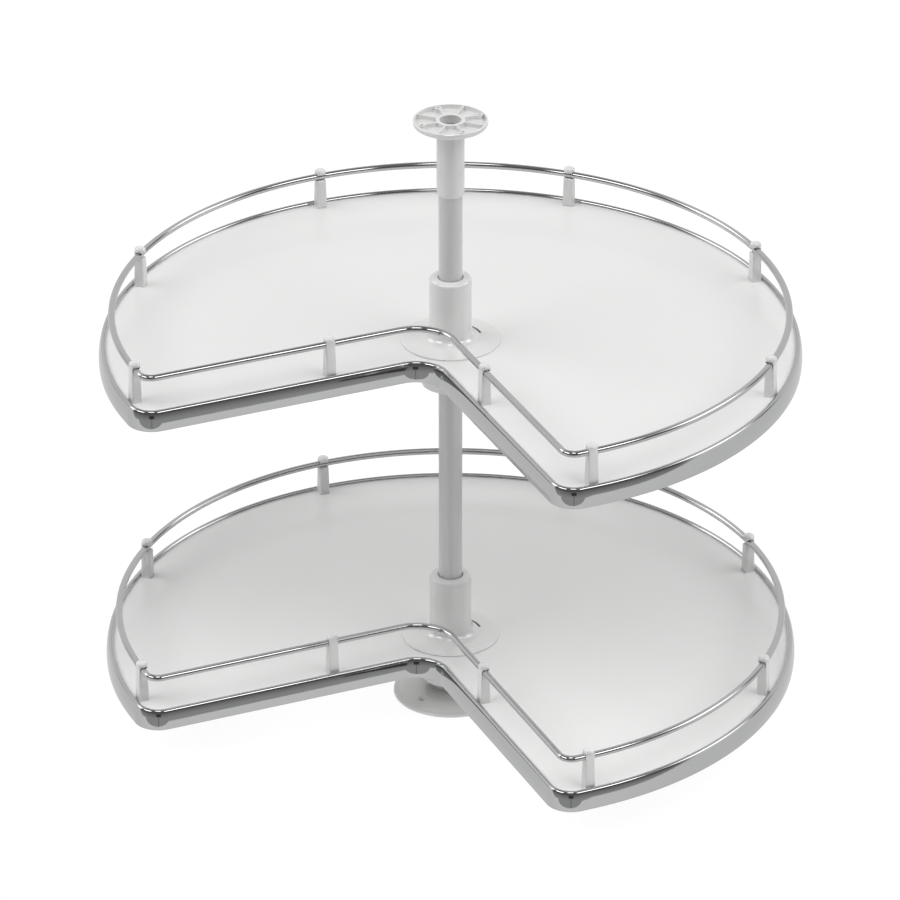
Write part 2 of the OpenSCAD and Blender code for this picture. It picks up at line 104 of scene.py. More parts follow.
class CarouselShelf(bpy.types.PropertyGroup):
    """Sizes of a shelf's outline, edge band, rail and posts"""

    radius: length("Shelf radius", "Outside radius over the edge band", span_of("upper_edge_band"))
    notch: length("Notch offset", "From the pole's axis to each straight edge of the notch", 46.0)
    corner: length("Corner radius", "Radius of the two outer corners", 31.0)
    inner: length("Inner radius", "Radius of the notch's inner corner", 32.0)
    board: length("Board thickness", "Thickness of the board", 19.0)
    wall: length("Band wall", "Thickness of the edge band", 2.4)
    lip: length("Band lip", "Depth of the band below the board", 2.3)
    lip_reach: length("Lip reach", "Reach of the band's lip under the board", 3.0)
    bulge: length("Band bulge", "Radius of the band's outward bulge in section", 50.0)
    crest: length("Bulge crest", "Depth of the bulge's crest below the board's top", 14.0)
    shoulder: length("Shoulder radius", "Radius between the bulge and the crown", 13.5)
    shoulder_from: angle("Shoulder start", "The bulge's tilt where the shoulder starts", 16.0)
    shoulder_to: angle("Shoulder end", "The band's tilt where the crown starts", 26.0)
    crown: length("Crown radius", "Radius of the crown that laps the board's edge", 3.3)
    rail: length("Rail diameter", "Diameter of the gallery rail", 8.0)
    rail_inset: length("Rail inset", "From the shelf's outside edge to the rail's centre", 16.2)
    rail_rise: length("Rail height", "Height of the rail's centre above the board", 40.2)
    post_foot: length("Post foot", "Width of a post at its foot", 12.8)
    post_head: length("Post head", "Width of a post under its cap", 10.8)
    post_edge: length("Post edge", "Rounding of a post's upright edges", 1.6)
    cap: length("Cap diameter", "Diameter of a post's cap", 13.4)
    cap_rise: length("Cap height", "Height of a post's cap", 5.6)
    arm_post: length("Arm post", "From the pole's axis to the post along each arm", 165.0)


class CarouselHub(bpy.types.PropertyGroup):
    """Sizes of the hub and the pole"""

    collar: length("Collar diameter", "Diameter of the hub's collar", 50.0)
    rise: length("Collar height", "Height of the collar above the board", 81.0)
    crown: length("Collar rounding", "Rounding of the collar's top edge", 4.8)
    fillet: length("Collar fillet", "Fillet between the collar and the flange", 12.0)
    flange: length("Hub flange", "Diameter of the hub's flange", 116.6)
    flange_edge: length("Flange edge", "Thickness of the hub's flange at its edge", 1.7)
    flange_root: length("Flange root", "Thickness of the hub's flange at the fillet", 3.2)
    mouth: length("Collar mouth", "Radius of the collar's mouth round the pole", 15.0)
    slot_at: length("Slot radius", "Radius at which the slot in the flange lies", 36.4)
    slot_width: length("Slot width", "Width of the slot in the flange", 2.8)
    slot_from: angle("Slot start", "Angle at which the slot starts, from +X", -5.0)
    slot_turn: angle("Slot length", "Angle over which the slot runs", 28.0)
    slot_depth: length("Slot depth", "Depth of the slot in the flange", 2.9)
    pole_wall: length("Pole wall", "Thickness of the pole's wall", 1.5)


class CarouselFinish(bpy.types.PropertyGroup):
    """Colours and gloss of the carousel's finishes"""

    facing: tone("Board facing", "White melamine on the boards", (0.84, 0.84, 0.835))
    chrome: tone("Chrome", "Edge bands and rails", (0.55, 0.553, 0.556))
    moulding: tone("White moulding", "Posts, hubs and ceiling flange", (0.80, 0.80, 0.795))
    floor_moulding: tone("Grey moulding", "Floor flange", (0.76, 0.76, 0.755))
    powder: tone("Powder coat", "Pole", (0.64, 0.64, 0.64))
    bush: tone("Bush", "Bushes and plugs", (0.60, 0.60, 0.57))
    cage: tone("Ball cage", "Cages of the bearings", (0.20, 0.17, 0.13))
    zinc: tone("Zinc plate", "Screws and collars", (0.58, 0.59, 0.60))
    oxide: tone("Black oxide", "Grub screws", (0.05, 0.05, 0.055))
    ground: tone("Ground steel", "Races and balls", (0.60, 0.61, 0.63))
    facing_gloss: amount("Facing roughness", "Mean roughness of the boards", 0.22)
    moulding_gloss: amount("Moulding roughness", "Mean roughness of the mouldings", 0.11)


class CarouselStage(bpy.types.PropertyGroup):
    """Camera and studio"""

    azimuth: angle("Azimuth", "Camera's bearing; 0 looks along +Y", -23.6)
    elevation: angle("Elevation", "Camera's height above the horizon", 27.461)
    distance: length("Distance", "From the camera to its target", 7895.7)
    target: length("Target height", "Height of the camera's target above the floor", 323.26)
    lens: bpy.props.FloatProperty(
        name="Lens", description="Focal length in mm on a 36 mm sensor", default=268.7, min=1.0
    )
    aside: length("Aim aside", "From the camera's line of sight to the pole's axis", 0.6)
    floor_reach: length("Floor reach", "From the middle of the floor to its sides", 14000.0)
    floor_gap: length("Floor gap", "From the object down to the floor", 0.6)
    lamp_turn: angle("Lamp turn", "From the camera's bearing left to the middle lamp", 4.5)
    lamp_step: angle("Lamp step", "Angle between two neighbouring lamps", 55.5)
    lamp_width: angle("Lamp width", "Angle over which one lamp reaches", 42.0)
    lamp_power: amount("Lamp power", "Brightness of a lamp in reflections", 5.0, 20.0)
    dome: amount("Dome power", "Brightness of the light on the matt surfaces", 1.03, 5.0)


# ---------------------------------------------------------------- shapes, worked out with numpy


def arc(centre, radius, start, stop, count):
    """Points centre + radius * (cos a, sin a), with a going from start to stop in degrees."""
    a = np.radians(np.linspace(start, stop, count))
    return np.column_stack([centre[0] + radius * np.cos(a), centre[1] + radius * np.sin(a)])


def outline(size):
    """Points and outward directions round the shelf's edge: the long arc about the pole, two
    outer corners, and the inner corner, whose outward side faces its centre. The long arc has
    a point at every degree, and a corner one at every third degree."""
    radius, notch, corner, inner = (
        1000 * v for v in (size.radius, size.notch, size.corner, size.inner)
    )
    far, near, deep = radius - corner, notch - corner, notch + inner
    parts = (
        ((0, 0), radius, -90, 180, 1, 1),
        ((-far, -near), corner, 180, 270, 3, 1),
        ((-deep, -deep), inner, 90, 0, 3, -1),
        ((-near, -far), corner, 180, 270, 3, 1),
    )
    points, outward = [], []
    for centre, r, start, stop, step, side in parts:
        ring = arc((0, 0), 1.0, start, stop, abs(stop - start) // step + 1)
        points.append(np.array(centre) + ring * r)
        outward.append(ring * side)
    return np.concatenate(points), np.concatenate(outward)


def sheet_of(grid, round_rows=True, round_columns=True):
    """Quads over a grid of points: face (i, j) joins (i, j), (i+1, j), (i+1, j+1), (i, j+1)."""
    rows, columns = grid.shape[:2]
    i = np.arange(rows if round_rows else rows - 1)[:, None]
    j = np.arange(columns if round_columns else columns - 1)[None, :]
    i2, j2 = (i + 1) % rows, (j + 1) % columns
    corners = (i * columns + j, i2 * columns + j, i2 * columns + j2, i * columns + j2)
    quads = np.stack(np.broadcast_arrays(*corners), axis=-1).reshape(-1, 4)
    return grid.reshape(-1, 3), [quads]


def carried(section, size, lift):
    """Section (x outwards, y up) carried round the shelf's outline: point (i, j) is
    edge(i) + outward(i) * x(j), at height y(j) + lift."""
    edge, outward = outline(size)
    flat = edge[:, None, :] + outward[:, None, :] * section[None, :, :1]
    up = np.broadcast_to(section[None, :, 1:] + lift, flat.shape[:2] + (1,))
    return sheet_of(np.concatenate([flat, up], axis=2))


def turned(r, z, angles):
    """Closed profile (r, z) turned about Z: point (i, j) is (r cos a, r sin a, z), where a is
    angle i in radians. The heights z may be given anew for each angle."""
    a = angles[:, None]
    return sheet_of(np.stack([r * np.cos(a), r * np.sin(a), z + 0 * a], axis=2))


def domed(profile, steps):
    """Open profile (r, z) from the axis to the axis, turned about Z. Its first and last points
    are single vertices on the axis, joined to their neighbours by triangles."""
    rim = profile[1:-1]
    a = np.linspace(0, 2 * np.pi, steps, endpoint=False)[None, :]
    r, z = rim[:, :1], rim[:, 1:]
    grid = np.stack([r * np.cos(a), r * np.sin(a), z + 0 * a], axis=2)
    points, faces = sheet_of(grid, round_rows=False)
    ends = np.array([[0, 0, profile[0, 1]], [0, 0, profile[-1, 1]]])
    j = np.arange(steps)
    first, last = len(points), len(points) + 1
    base = (len(rim) - 1) * steps
    faces += [
        np.stack([np.full(steps, first), j, (j + 1) % steps], axis=1),
        np.stack([np.full(steps, last), base + (j + 1) % steps, base + j], axis=1),
    ]
    return np.concatenate([points, ends]), faces


def outwards(form):
    """The form with its faces turned outwards: the sum of p . (q x r) over its triangles pqr,
    which is six times its volume, is made positive."""
    points, faces = form
    volume = 0.0
    for f in faces:
        for k in range(1, f.shape[1] - 1):
            p, q, r = (points[f[:, n]] for n in (0, k, k + 1))
            volume += (p * np.cross(q, r)).sum()
    return (points, [f[:, ::-1] for f in faces]) if volume < 0 else form


def placed(form, spin, move):
    """The form turned by spin degrees about Z and then moved."""
    a = math.radians(spin)
    turn = np.array([[math.cos(a), math.sin(a), 0], [-math.sin(a), math.cos(a), 0], [0, 0, 1]])
    return form[0] @ turn + np.array(move), form[1]


def piece(name, forms, body, material, stands_for, sharp=38.0):
    """One object from closed forms in millimetres, which rides on a body. Its edges are sharp
    where its faces meet at more than the angle sharp, in degrees, and smooth elsewhere."""
    points = np.concatenate([f[0] for f in forms]) / 1000
    loops, sizes, offset = [], [], 0
    for form_points, faces in forms:
        for f in outwards((form_points, faces))[1]:
            loops.append((f + offset).ravel())
            sizes.append(np.full(len(f), f.shape[1]))
        offset += len(form_points)
    loops, sizes = np.concatenate(loops), np.concatenate(sizes)
    mesh = bpy.data.meshes.new(name)
    mesh.vertices.add(len(points))
    mesh.vertices.foreach_set("co", points.astype(np.float32).ravel())
    mesh.loops.add(len(loops))
    mesh.loops.foreach_set("vertex_index", loops.astype(np.int32))
    mesh.polygons.add(len(sizes))
    mesh.polygons.foreach_set("loop_start", (np.cumsum(sizes) - sizes).astype(np.int32))
    mesh.update(calc_edges=True)
    mesh.validate()
    mesh.shade_smooth()
    mesh.set_sharp_from_angle(angle=math.radians(sharp))
    mesh.materials.append(material)
    made = bpy.data.objects.new(name, mesh)
    bpy.context.scene.collection.objects.link(made)
    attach(made, body)
    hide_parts(*stands_for)


# ---------------------------------------------------------------- node helpers


def feed(tree, value, socket):
    """Sets an input socket to a plain value, or joins a number or another socket to it."""
    if isinstance(value, Number):
        value = value.socket
    if isinstance(value, bpy.types.NodeSocket):
        tree.links.new(value, socket)
    else:
        socket.default_value = value


def add(tree, kind, inputs=None, **settings):
    """A node with its settings, whose inputs are then fed."""
    node = tree.nodes.new(kind)
    for key, value in settings.items():
        setattr(node, key, value)
    for key, value in (inputs or {}).items():
        feed(tree, value, node.inputs[key])
    return node


class Number:
    """A number in a node tree. Its operators and functions add Math and Map Range nodes."""

    def __init__(self, tree, socket):
        self.tree, self.socket = tree, socket

    def maths(self, operation, *others):
        """A Math node over this number and others."""
        values = dict(enumerate((self, *others)))
        node = add(self.tree, "ShaderNodeMath", values, operation=operation)
        return Number(self.tree, node.outputs[0])

    def __add__(self, other):
        return self.maths("ADD", other)

    def __sub__(self, other):
        return self.maths("SUBTRACT", other)

    def __mul__(self, other):
        return self.maths("MULTIPLY", other)

    def __truediv__(self, other):
        return self.maths("DIVIDE", other)

    def eased(self, low, high, at_low=0.0, at_high=1.0):
        """Goes smoothly from at_low to at_high while this number goes from low to high."""
        values = {"From Min": low, "From Max": high, "To Min": at_low, "To Max": at_high}
        node = add(
            self.tree,
            "ShaderNodeMapRange",
            {"Value": self, **values},
            interpolation_type="SMOOTHSTEP",
        )
        return Number(self.tree, node.outputs["Result"])

    def within(self, low, high, soft):
        """1 between low and high, which falls smoothly to 0 over the last soft at each end."""
        return self.eased(low, low + soft) * self.eased(high - soft, high, 1.0, 0.0)

    def towards(self, other, share):
        """This number moved towards another one by a share of the way."""
        return (self * -1.0 + other) * share + self

    def cut(self, share=1.0):
        """1 less a share of this number."""
        return self * -share + 1.0


def group(name, inputs, outputs):
    """An empty shader node group with named sockets, each given as (name, kind, default)."""
    tree = bpy.data.node_groups.new(name, "ShaderNodeTree")
    for label, kind, default in inputs:
        socket = tree.interface.new_socket(label, in_out="INPUT", socket_type="NodeSocket" + kind)
        if default is not None:
            socket.default_value = default
    for label, kind in outputs:
        tree.interface.new_socket(label, in_out="OUTPUT", socket_type="NodeSocket" + kind)
    return tree, tree.nodes.new("NodeGroupInput"), tree.nodes.new("NodeGroupOutput")


def skin_group():
    """Skin of a moulding or facing: a fine grain for the bump, and a slow drift of tone and gloss."""
    known = bpy.data.node_groups.get("Moulded skin")
    if known:
        return known
    tree, given, result = group(
        "Moulded skin",
        [
            ("Vector", "Vector", None),
            ("Colour", "Color", (0.8, 0.8, 0.8, 1.0)),
            ("Roughness", "Float", 0.3),
            ("Tone drift", "Float", 0.03),
            ("Gloss drift", "Float", 0.06),
            ("Grain gloss", "Float", 0.04),
            ("Grain per metre", "Float", 1200.0),
        ],
        [("Colour", "Color"), ("Roughness", "Float"), ("Height", "Float")],
    )
    i = given.outputs
    at, per_metre = i["Vector"], i["Grain per metre"]
    slow = add(tree, "ShaderNodeTexNoise", {"Vector": at, "Scale": 9.0, "Detail": 3.0})
    grain = {"Vector": at, "Scale": per_metre, "Detail": 2.0, "Roughness": 0.6}
    fine = add(tree, "ShaderNodeTexNoise", grain)
    drift = Number(tree, slow.outputs["Fac"]) - 0.5
    speck = Number(tree, fine.outputs["Fac"]) - 0.5
    shade = drift * Number(tree, i["Tone drift"]) * 2.0 + 1.0
    tinted = add(tree, "ShaderNodeVectorMath", {0: i["Colour"], 1: shade}, operation="MULTIPLY")
    rough = Number(tree, i["Roughness"]) + drift * Number(tree, i["Gloss drift"]) * 2.0
    rough = rough + speck * Number(tree, i["Grain gloss"])
    feed(tree, tinted.outputs[0], result.inputs["Colour"])
    feed(tree, rough, result.inputs["Roughness"])
    feed(tree, fine.outputs["Fac"], result.inputs["Height"])
    return tree


def marks_group():
    """Wiping marks: fine lines of noise drawn out along one axis, gathered in soft patches."""
    known = bpy.data.node_groups.get("Wiping marks")
    if known:
        return known
    tree, given, result = group(
        "Wiping marks",
        [
            ("Vector", "Vector", None),
            ("Roughness", "Float", 0.08),
            ("Marks", "Float", 0.08),
            ("Patches", "Float", 0.03),
            ("Lines per metre", "Float", 900.0),
        ],
        [("Roughness", "Float"), ("Height", "Float")],
    )
    i = given.outputs
    at, per_metre = i["Vector"], i["Lines per metre"]
    drawn_out = {"Vector": at, "Rotation": (0.3, 0.9, 0.5), "Scale": (0.04, 1.0, 1.0)}
    drawn = add(tree, "ShaderNodeMapping", drawn_out).outputs[0]
    lines = add(tree, "ShaderNodeTexNoise", {"Vector": drawn, "Scale": per_metre, "Detail": 1.0})
    patches = add(tree, "ShaderNodeTexNoise", {"Vector": at, "Scale": 14.0, "Detail": 2.0})
    mask = Number(tree, patches.outputs["Fac"]).eased(0.42, 0.7)
    mark = Number(tree, lines.outputs["Fac"]).eased(0.55, 0.75) * mask
    rough = Number(tree, i["Roughness"]) + mark * Number(tree, i["Marks"])
    rough = rough + mask * Number(tree, i["Patches"])
    feed(tree, rough, result.inputs["Roughness"])
    feed(tree, mark, result.inputs["Height"])
    return tree


def material(name):
    """A new material with its tree, its Principled BSDF and the piece's Object coordinates."""
    made = bpy.data.materials.new(name)
    made.use_nodes = True
    tree = made.node_tree
    at = add(tree, "ShaderNodeTexCoord").outputs["Object"]
    return made, tree, tree.nodes["Principled BSDF"], at


def bumped(tree, shader, height, distance):
    """Joins a height to the shader's normal through a Bump node; distance is in metres."""
    bump = add(tree, "ShaderNodeBump", {"Height": height, "Distance": distance, "Strength": 1.0})
    feed(tree, bump.outputs["Normal"], shader.inputs["Normal"])


def plastic(name, colour, roughness, grain=1200.0, depth=1.5e-6, drift=0.03, shine=1.0):
    """A moulded or faced surface in one colour, with grain so many times a metre and so many
    metres deep, and drift of tone and gloss. Its specular level is shine."""
    known = bpy.data.materials.get(name)
    if known:
        return known
    made, tree, shader, at = material(name)
    given = {
        "Vector": at,
        "Colour": (*colour, 1.0),
        "Roughness": roughness,
        "Tone drift": drift,
        "Grain per metre": grain,
    }
    skin = add(tree, "ShaderNodeGroup", given, node_tree=skin_group())
    feed(tree, skin.outputs["Colour"], shader.inputs["Base Color"])
    feed(tree, skin.outputs["Roughness"], shader.inputs["Roughness"])
    feed(tree, 1.6, shader.inputs["IOR"])
    feed(tree, shine, shader.inputs["Specular IOR Level"])
    bumped(tree, shader, skin.outputs["Height"], depth)
    return made


def slot_shade_group():
    """Mask over an arc-shaped slot about the Z axis: 1 where |r - at| < width / 2 between two
    bearings, falling to 0 over the edge, so that painted shade can darken the slot's colour, as the
    shade inside an opening would."""
    known = bpy.data.node_groups.get("Slot shade mask")
    if known:
        return known
    sizes = [(label, "Float", 0.0) for label in ("At", "Width", "From", "To")]
    inputs = [("Vector", "Vector", None), *sizes]
    tree, given, result = group("Slot shade mask", inputs, [("Mask", "Float")])
    apart = add(tree, "ShaderNodeSeparateXYZ", {0: given.outputs["Vector"]})
    x, y = (Number(tree, apart.outputs[k]) for k in range(2))
    at, width, first, last = (Number(tree, given.outputs[label]) for label, _, _ in sizes)
    reach = ((x * x + y * y).maths("SQRT") - at).maths("ABSOLUTE") / width
    bearing = y.maths("ARCTAN2", x)
    ends = (bearing - first).eased(-0.03, 0.0) * (last - bearing).eased(-0.03, 0.0)
    feed(tree, reach.eased(0.42, 0.56, 1.0, 0.0) * ends, result.inputs["Mask"])
    return tree


def hub_moulding_with_slot_shade():
    """The white moulding with painted shade in the slot of the hub's flange, where its colour is nine
    tenths darker.
    """
    known = bpy.data.materials.get("Hub moulding with painted slot shade")
    if known:
        return known
    look, size = bpy.context.scene.carousel_finish, bpy.context.scene.carousel_hub
    made = plastic("Hub moulding with painted slot shade", look.moulding, look.moulding_gloss)
    tree = made.node_tree
    colour = tree.nodes["Principled BSDF"].inputs["Base Color"]
    given = {
        "Vector": add(tree, "ShaderNodeTexCoord").outputs["Object"],
        "At": size.slot_at,
        "Width": size.slot_width,
        "From": size.slot_from,
        "To": size.slot_from + size.slot_turn,
    }
    slot = add(tree, "ShaderNodeGroup", given, node_tree=slot_shade_group())
    # Painted shade: the colour in the slot is made nine tenths darker, standing for the shade inside
    # it
    shade = Number(tree, slot.outputs["Mask"]).cut(0.9)
    skin = colour.links[0].from_socket
    dark = add(tree, "ShaderNodeVectorMath", {0: skin, 1: shade}, operation="MULTIPLY")
    feed(tree, dark.outputs[0], colour)
    return made


def metal(name, colour, roughness, marks=0.08, lines=900.0, wave=0.0, depth=4e-6):
    """A bare or plated metal with wiping marks, and slow waves where it was drawn or rolled."""
    known = bpy.data.materials.get(name)
    if known:
        return known
    made, tree, shader, at = material(name)
    given = {"Vector": at, "Roughness": roughness, "Marks": marks, "Lines per metre": lines}
    rubbed = add(tree, "ShaderNodeGroup", given, node_tree=marks_group())
    tint = add(tree, "ShaderNodeTexNoise", {"Vector": at, "Scale": 22.0, "Detail": 2.0})
    tones = {
        "Factor": tint.outputs["Fac"],
        "A": (*[c * 0.97 for c in colour], 1.0),
        "B": (*[min(1.0, c * 1.02) for c in colour], 1.0),
    }
    toned = add(tree, "ShaderNodeMix", tones, data_type="RGBA")
    feed(tree, toned.outputs["Result"], shader.inputs["Base Color"])
    feed(tree, rubbed.outputs["Roughness"], shader.inputs["Roughness"])
    feed(tree, 1.0, shader.inputs["Metallic"])
    height = Number(tree, rubbed.outputs["Height"])
    if wave:
        slow = add(tree, "ShaderNodeTexNoise", {"Vector": at, "Scale": 45.0, "Detail": 0.0})
        height = height * 0.2 + Number(tree, slow.outputs["Fac"]) * wave
    bumped(tree, shader, height, depth)
    return made


def finishes():
    """Every finish of the carousel by name, each made once."""
    look = bpy.context.scene.carousel_finish
    facing = {"grain": 700.0, "depth": 3e-6, "drift": 0.012, "shine": 0.5}
    chrome = {"marks": 0.03, "lines": 600.0, "wave": 1.0, "depth": 4e-5}
    powder = {"grain": 650.0, "depth": 3e-6, "drift": 0.02}
    return {
        "facing": plastic("White melamine facing", look.facing, look.facing_gloss, **facing),
        "chrome": metal("Polished chrome", look.chrome, 0.05, **chrome),
        "moulding": plastic("White moulding", look.moulding, look.moulding_gloss),
        "clip": plastic("Clip moulding", look.moulding, look.moulding_gloss + 0.08),
        "floor": plastic("Grey moulding", look.floor_moulding, 0.15, grain=900.0, depth=3e-6),
        "powder": plastic("Grey powder coat", look.powder, 0.14, **powder),
        "bush": plastic("Bearing plastic", look.bush, 0.42, grain=500.0, depth=6e-6, shine=0.5),
        "cage": plastic("Ball cage plastic", look.cage, 0.45, grain=600.0, depth=6e-6, shine=0.5),
        "zinc": metal("Zinc plate", look.zinc, 0.28, marks=0.15, lines=1500.0),
        "black": metal("Black oxide", look.oxide, 0.38, marks=0.12, lines=1500.0),
        "ground": metal("Ground steel", look.ground, 0.16, marks=0.10, lines=2500.0),
    }


def dress(names, finish):
    """Gives CAD nodes a finish in every material slot."""
    look = finishes()[finish]
    for name in names:
        for slot in CAD[name].material_slots:
            slot.material = look


# ---------------------------------------------------------------- pieces


def band_section(size):
    """Edge band in section, x outwards from the outline and y up from the board's top: a bulged
    face about (-b, -c), then a shoulder and a crown down to the board's top, and a lip under the
    board. Each arc starts at the last one's end p, tilted by t: its centre is p - r (cos t, sin t)."""
    board, wall, lip, reach, b, c = (
        1000 * v
        for v in (size.board, size.wall, size.lip, size.lip_reach, size.bulge, size.crest)
    )
    depth, heel_r, lip_r = board + lip, 0.7, 0.5
    tilt, end = math.degrees(size.shoulder_from), math.degrees(size.shoulder_to)
    foot = math.degrees(math.asin((c - depth + heel_r) / b))
    arcs = [arc((-b, -c), b, foot, tilt, 34)]
    for radius, start, stop, count in ((size.shoulder, tilt, end, 7), (size.crown, end, None, 36)):
        radius *= 1000
        lean = np.radians(start)
        centre = arcs[-1][-1] - radius * np.array([np.cos(lean), np.sin(lean)])
        if stop is None:
            stop = 180 + math.degrees(math.asin(centre[1] / radius))
        arcs.append(arc(centre, radius, start, stop, count)[1:])
    lower = np.array([[-wall, 0.0], [-wall, -board], [-wall - reach, -board]])
    under = arc((-wall - reach + lip_r, -depth + lip_r), lip_r, 180, 270, 5)
    heel = arc((arcs[0][0, 0] - heel_r, -depth + heel_r), heel_r, 270, 352, 7)
    return np.concatenate([*arcs, lower, under, heel])


def post_form(size):
    """A post in its own place, x outwards, y along the rail, z up. Its side view is a tapered
    column with a clip slot open to the inside, (x(s), z(s)), carried across y: ring k lies at
    y = w(z) - e(1 - cos f), drawn in by e(1 - sin f), so that the upright edges are round."""
    foot, head, edge, rail, rise = (
        1000 * v
        for v in (size.post_foot, size.post_head, size.post_edge, size.rail, size.rail_rise)
    )
    clip = rail / 2 + CLIP_GAP
    tuck, bevel, small_edge = 0.6, 0.5, 0.25
    top = rise + clip + tuck

    def half(z):
        """Half the column's width at height z."""
        return (foot + (head - foot) * z / (top + 0.1)) / 2

    # The slot's two sides fall towards its mouth, from the ends of the seat round the rail
    fall = 8.0
    seat = arc((0, rise), clip, 90 - fall, -90 - fall, 15)
    slope = np.array([-1, -math.tan(math.radians(fall))])
    high, low = (end + slope * (end[0] + half(rise)) for end in (seat[0], seat[-1]))
    front_z = np.linspace(bevel, top, 9)
    back_z = np.linspace(low[1] - bevel, bevel, 8)
    side = np.concatenate(
        [
            np.column_stack([half(front_z), front_z]),
            [[-half(top), top], [-half(high[1]), high[1] + bevel], high + [bevel, 0.1 * bevel]],
            seat,
            [low + [bevel, 0.1 * bevel], [-half(low[1]), low[1] - 0.8 * bevel]],
            np.column_stack([-half(back_z), back_z]),
            [[-half(0) + bevel, 0.0], [half(0) - bevel, 0.0]],
        ]
    )
    along = np.roll(side, -1, 0) - np.roll(side, 1, 0)
    along /= np.linalg.norm(along, axis=1)[:, None]
    inwards = np.column_stack([-along[:, 1], along[:, 0]])
    x, z = side.T
    upright = (np.abs(x) > half(z) - 0.05) & (z > 0.2)
    give = np.where(upright, edge, small_edge)
    f = np.radians(np.linspace(0, 90, 6))
    rings = []
    for s, angles in ((-1, f), (1, f[::-1])):
        for t in angles:
            drawn = side + inwards * give[:, None] * (1 - math.sin(t))
            y = s * (half(z) - give * (1 - math.cos(t)))
            rings.append(np.column_stack([drawn[:, 0], y, drawn[:, 1]]))
    points, faces = sheet_of(np.stack(rings), round_rows=False)
    n = len(side)
    faces += [np.arange(n)[None, ::-1], np.arange(len(points) - n, len(points))[None]]
    return points, faces


def cap_form(size):
    """Cap of a post over the column's head: a skirt, a round shoulder and a low crown. From the
    shoulder's end (r1, z1) the crown is (r1 (1 - t), z1 + (top - z1)(1 - (1 - t)^2))."""
    r, h, rail, rise = (1000 * v for v in (size.cap / 2, size.cap_rise, size.rail, size.rail_rise))
    skirt_r, shoulder_r, crown_h = 0.6, 3.2, 0.4
    foot = rise + rail / 2 + CLIP_GAP
    top = foot + h
    skirt = arc((r - skirt_r, foot + skirt_r), skirt_r, -90, 0, 5)
    shoulder = arc((r - shoulder_r, top - shoulder_r - crown_h), shoulder_r, 0, 72, 8)
    r1, z1 = shoulder[-1]
    t = np.linspace(0, 1, 7)[1:-1]
    crown = np.column_stack([r1 * (1 - t), z1 + (top - z1) * (1 - (1 - t) ** 2)])
    return domed(np.concatenate([[[0, foot]], skirt, shoulder, crown, [[0, top]]]), 48)


def post_places(size):
    """Bearing, x and y of the nine posts: one at each 45 degrees of the arc, one on each arm."""
    path = 1000 * (size.radius - size.rail_inset)
    off = 1000 * (size.notch - size.rail_inset)
    arm = 1000 * size.arm_post
    bearings = range(-90, 181, 45)
    ring = arc((0, 0), path, bearings[0], bearings[-1], len(bearings))
    places = [(bearing, x, y) for bearing, (x, y) in zip(bearings, ring)]
    return places + [(-90, -arm, -off), (180, -off, -arm)]


def hub_form(size):
    """Hub: a profile (r, z) turned about Z in steps that are finer near the slot. The flange's
    top runs in past the slot, its last stretch hidden under the foot of the fillet. Where the
    slot runs, top and fillet are lowered by depth * mask(r, a), which falls off over soft."""
    collar, rise, crown, fillet, flange, edge, root, mouth, at, width, depth = (
        1000 * v
        for v in (
            size.collar / 2, size.rise, size.crown, size.fillet, size.flange / 2,
            size.flange_edge, size.flange_root, size.mouth, size.slot_at, size.slot_width,
            size.slot_depth,
        )
    )
    bore, spigot, spigot_foot = collar - 4.5, collar - 0.2, -12.0
    rim_r, mouth_r, lip = 0.7, 0.6, 3.0
    level, foot = flange - 1, collar + fillet

    def flange_top(r):
        """Height of the flange's top, which climbs evenly from its edge to its root."""
        return edge + (root - edge) * np.clip((level - r) / (level - foot), 0, 1)

    r = np.concatenate([flange - np.array([4, 9, 14]), np.linspace(at + 3.2, at - 2.0, 36)])
    profile = np.concatenate(
        [
            [[bore, spigot_foot], [spigot, spigot_foot], [spigot, 0.0], [flange - 0.3, 0.0]],
            arc((flange - rim_r, edge - rim_r), rim_r, -25, 84, 7),
            np.column_stack([r, flange_top(r)]),
            arc((foot, root + fillet), fillet, 270, 180, 16)[1:],
            arc((collar - crown, rise - crown), crown, 0, 90, 12),
            arc((mouth + mouth_r, rise - mouth_r), mouth_r, 90, 180, 5),
            [[mouth, rise - lip], [bore, rise - lip]],
        ]
    )
    first, last, margin = size.slot_from, size.slot_from + size.slot_turn, 0.12
    fine = np.linspace(first - margin, last + margin, 120)
    coarse = np.linspace(last + margin, first - margin + 2 * np.pi, 141)[1:-1]
    angles = np.concatenate([fine, coarse])
    a, (r, z), soft = angles[:, None], profile.T, 0.3
    past = np.maximum(np.maximum(first - a, a - last), 0) * at
    upper = (z > 0.5) & (z < 12) & (r > collar + 3)
    mask = np.clip((width / 2 - np.hypot(r - at, past)) / soft + 0.5, 0, 1) * upper
    return turned(r, z - depth * mask, angles)


def pole_form(low, high, r, wall):
    """The tube: an outer and an inner wall from low to high, whose four edges are round."""
    outer, inner = 0.4, 0.3
    inside = r - wall + inner
    corners = (
        (r - outer, low + outer, outer),
        (r - outer, high - outer, outer),
        (inside, high - inner, inner),
        (inside, low + inner, inner),
    )
    rounds = [arc((x, y), e, 90 * k - 90, 90 * k, 7) for k, (x, y, e) in enumerate(corners)]
    profile = np.concatenate(rounds)
    return turned(*profile.T, np.linspace(0, 2 * np.pi, 128, endpoint=False))


class PieceOperator(bpy.types.Operator):
    """Base of the operators that dress the carousel"""

    bl_idname = "carousel.piece"
    bl_label = "Carousel piece"
    bl_options = {"REGISTER", "UNDO"}


class CAROUSEL_OT_boards(PieceOperator):
    """Give both boards their white melamine facing"""

    bl_idname = "carousel.boards"
    bl_label = "Boards"

    def execute(self, context):
        dress([f"{s}_board" for s in SHELVES], "facing")
        return {"FINISHED"}


